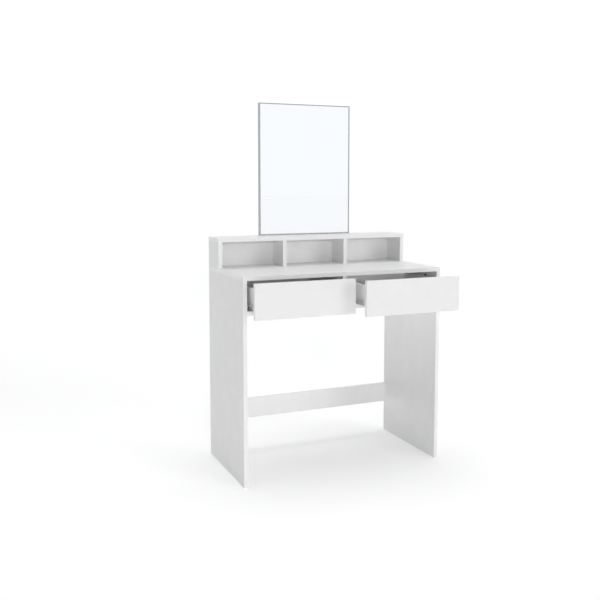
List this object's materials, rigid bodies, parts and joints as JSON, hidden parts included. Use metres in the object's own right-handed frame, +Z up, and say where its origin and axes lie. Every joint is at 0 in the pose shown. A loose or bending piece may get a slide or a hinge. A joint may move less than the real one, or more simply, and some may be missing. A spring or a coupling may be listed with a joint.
{
  "type": "vanity table with mirror",
  "caption": "Dressing table on panel sides with side-by-side roller drawers, an open hutch of equal bays along the back and an upright framed mirror standing on the hutch.",
  "frame": {"origin": "on the floor, under the middle of the bounding box with the drawers partly open as at rest", "axes": "+Z up, drawers open towards -Y, +X to the right of someone facing the mirror"},
  "size_m": [0.8, 0.5544, 1.385],
  "materials": {
    "white_board": "satin white melamine on chipboard",
    "drawer_sheet": "satin white faced hardboard",
    "mirror": "silvered glass",
    "backing": "raw fibreboard",
    "frame_aluminium": "satin anodised",
    "strap_steel": "white powder coat",
    "fitting_steel": "bright zinc plate",
    "cam_zinc": "die-cast zinc",
    "dowel_wood": "raw beech",
    "slide_steel": "zinc plate",
    "roller_plastic": "moulded nylon"
  },
  "bodies": {
    "table": {"tabletop": "white_board", "left_side_panel": "white_board", "right_side_panel": "white_board", "bay_bottom": "white_board", "centre_partition": "white_board", "bay_back": "white_board", "rear_stretcher": "white_board", "hutch_top": "white_board", "hutch_left_side": "white_board", "hutch_right_side": "white_board", "hutch_left_divider": "white_board", "hutch_right_divider": "white_board", "hutch_back": "white_board", "mirror_glass": "mirror", "mirror_backing": "backing", "mirror_frame_bottom": "frame_aluminium", "mirror_frame_right": "frame_aluminium", "mirror_frame_top": "frame_aluminium", "mirror_frame_left": "frame_aluminium", "mirror_straps": "strap_steel", "mirror_strap_screws": "fitting_steel", "cam_bolts": "fitting_steel", "board_screws": "fitting_steel", "hutch_rear_screws": "fitting_steel", "channel_screws": "fitting_steel", "cam_discs": "cam_zinc", "dowels": "dowel_wood", "left_bay_left_channel": "slide_steel", "left_bay_right_channel": "slide_steel", "right_bay_left_channel": "slide_steel", "right_bay_right_channel": "slide_steel"},
    "left_drawer": {"left_drawer_front": "white_board", "left_drawer_left_side": "white_board", "left_drawer_right_side": "white_board", "left_drawer_back": "white_board", "left_drawer_bottom": "drawer_sheet", "left_drawer_left_rail": "slide_steel", "left_drawer_right_rail": "slide_steel", "left_drawer_cams": "cam_zinc", "left_drawer_screws": "fitting_steel"},
    "right_drawer": {"right_drawer_front": "white_board", "right_drawer_left_side": "white_board", "right_drawer_right_side": "white_board", "right_drawer_back": "white_board", "right_drawer_bottom": "drawer_sheet", "right_drawer_left_rail": "slide_steel", "right_drawer_right_rail": "slide_steel", "right_drawer_cams": "cam_zinc", "right_drawer_screws": "fitting_steel"},
    "left_bay_left_channel_roller": {"left_bay_left_channel_roller": "roller_plastic"},
    "left_bay_right_channel_roller": {"left_bay_right_channel_roller": "roller_plastic"},
    "right_bay_left_channel_roller": {"right_bay_left_channel_roller": "roller_plastic"},
    "right_bay_right_channel_roller": {"right_bay_right_channel_roller": "roller_plastic"},
    "left_drawer_left_roller": {"left_drawer_left_roller": "roller_plastic"},
    "left_drawer_right_roller": {"left_drawer_right_roller": "roller_plastic"},
    "right_drawer_left_roller": {"right_drawer_left_roller": "roller_plastic"},
    "right_drawer_right_roller": {"right_drawer_right_roller": "roller_plastic"}
  },
  "joints": [
    {"name": "left_drawer_slide", "type": "slide", "parent": "table", "child": "left_drawer", "axis": [0, -1, 0], "range_m": [-0.074, 0.186]},
    {"name": "right_drawer_slide", "type": "slide", "parent": "table", "child": "right_drawer", "axis": [0, -1, 0], "range_m": [-0.152, 0.108]},
    {"name": "left_bay_left_channel_roller_spin", "type": "hinge", "parent": "table", "child": "left_bay_left_channel_roller", "pos_m": [-0.37905, -0.09625, 0.6417], "axis": [1, 0, 0], "continuous": true},
    {"name": "left_drawer_left_roller_spin", "type": "hinge", "parent": "left_drawer", "child": "left_drawer_left_roller", "pos_m": [-0.37965, 0.15675, 0.64015], "axis": [1, 0, 0], "continuous": true},
    {"name": "left_bay_right_channel_roller_spin", "type": "hinge", "parent": "table", "child": "left_bay_right_channel_roller", "pos_m": [-0.01345, -0.09625, 0.6417], "axis": [1, 0, 0], "continuous": true},
    {"name": "left_drawer_right_roller_spin", "type": "hinge", "parent": "left_drawer", "child": "left_drawer_right_roller", "pos_m": [-0.01285, 0.15675, 0.64015], "axis": [1, 0, 0], "continuous": true},
    {"name": "right_bay_left_channel_roller_spin", "type": "hinge", "parent": "table", "child": "right_bay_left_channel_roller", "pos_m": [0.01345, -0.09625, 0.6417], "axis": [1, 0, 0], "continuous": true},
    {"name": "right_drawer_left_roller_spin", "type": "hinge", "parent": "right_drawer", "child": "right_drawer_left_roller", "pos_m": [0.01285, 0.07875, 0.64015], "axis": [1, 0, 0], "continuous": true},
    {"name": "right_bay_right_channel_roller_spin", "type": "hinge", "parent": "table", "child": "right_bay_right_channel_roller", "pos_m": [0.37905, -0.09625, 0.6417], "axis": [1, 0, 0], "continuous": true},
    {"name": "right_drawer_right_roller_spin", "type": "hinge", "parent": "right_drawer", "child": "right_drawer_right_roller", "pos_m": [0.37965, 0.07875, 0.64015], "axis": [1, 0, 0], "continuous": true}
  ],
  "couplings": [
    {"joint": "left_bay_left_channel_roller_spin", "follows": "left_drawer_slide", "rad_per_m": 100},
    {"joint": "left_drawer_left_roller_spin", "follows": "left_drawer_slide", "rad_per_m": 106.38},
    {"joint": "left_bay_right_channel_roller_spin", "follows": "left_drawer_slide", "rad_per_m": 100},
    {"joint": "left_drawer_right_roller_spin", "follows": "left_drawer_slide", "rad_per_m": 106.38},
    {"joint": "right_bay_left_channel_roller_spin", "follows": "right_drawer_slide", "rad_per_m": 100},
    {"joint": "right_drawer_left_roller_spin", "follows": "right_drawer_slide", "rad_per_m": 106.38},
    {"joint": "right_bay_right_channel_roller_spin", "follows": "right_drawer_slide", "rad_per_m": 100},
    {"joint": "right_drawer_right_roller_spin", "follows": "right_drawer_slide", "rad_per_m": 106.38}
  ]
}
